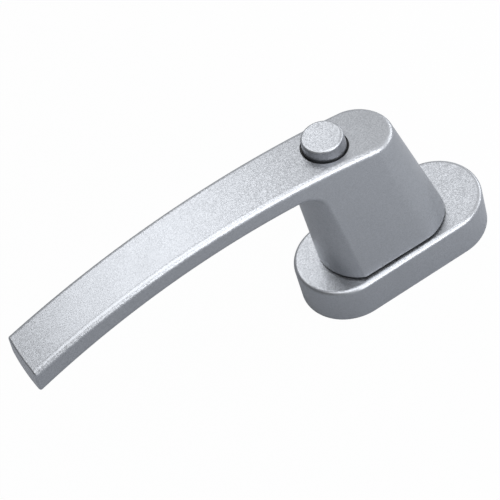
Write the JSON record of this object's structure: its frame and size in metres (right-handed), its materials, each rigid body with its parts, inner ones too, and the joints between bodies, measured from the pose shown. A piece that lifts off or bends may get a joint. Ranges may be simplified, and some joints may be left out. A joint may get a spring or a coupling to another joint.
{
  "type": "push-button window handle",
  "caption": "Window handle with an arched lever on a hollow neck over a round-ended rosette, a sprung release button in the lever's top and a square spindle socket behind.",
  "frame": {"origin": "the spindle axis where it meets the mounting plane behind the rosette", "axes": "+Z away from the window into the room, X along the rosette with the closed lever pointing to -X, Y across the rosette"},
  "size_m": [0.1602, 0.032, 0.069],
  "materials": {
    "silver_coat": "die-cast aluminium with a fine-grained silver metallic coat, satin",
    "zinc_casting": "bare die-cast zinc, dull",
    "turned_steel": "turned and milled steel, zinc plated",
    "plated_fasteners": "zinc-plated steel, bright",
    "spring_steel": "hardened spring steel, oiled",
    "bearing_plastic": "moulded acetal, natural white, satin",
    "black_plastic": "moulded acetal, black, satin"
  },
  "bodies": {
    "base": {"rosette_cover": "silver_coat", "base_plate": "zinc_casting", "bearing_plate": "zinc_casting", "bearing_plate_screws": "plated_fasteners", "bearing_bush": "bearing_plastic", "glide_ring": "black_plastic", "detent_spring_left": "spring_steel", "detent_spring_right": "spring_steel", "lock_leaf": "spring_steel", "leaf_rivets": "plated_fasteners"},
    "handle": {"lever": "silver_coat", "hub": "turned_steel", "hub_screws": "plated_fasteners", "detent_cam": "turned_steel", "retaining_ring": "spring_steel", "button_guide": "black_plastic", "button_spring": "spring_steel"},
    "button": {"push_button": "silver_coat", "button_plunger": "turned_steel", "lock_pin": "turned_steel"}
  },
  "joints": [
    {"name": "handle_turn", "type": "hinge", "parent": "base", "child": "handle", "pos_m": [0, 0, 0], "axis": [0, 0, 1], "range_deg": [0, 180], "deforming": ["detent_spring_left", "detent_spring_right", "lock_leaf"]},
    {"name": "button_press", "type": "slide", "parent": "handle", "child": "button", "axis": [0, 0, -1], "range_m": [0, 0.0032], "stiffness_N_per_m": 1200, "springref_m": -0.002, "deforming": ["button_spring", "lock_leaf"]}
  ]
}
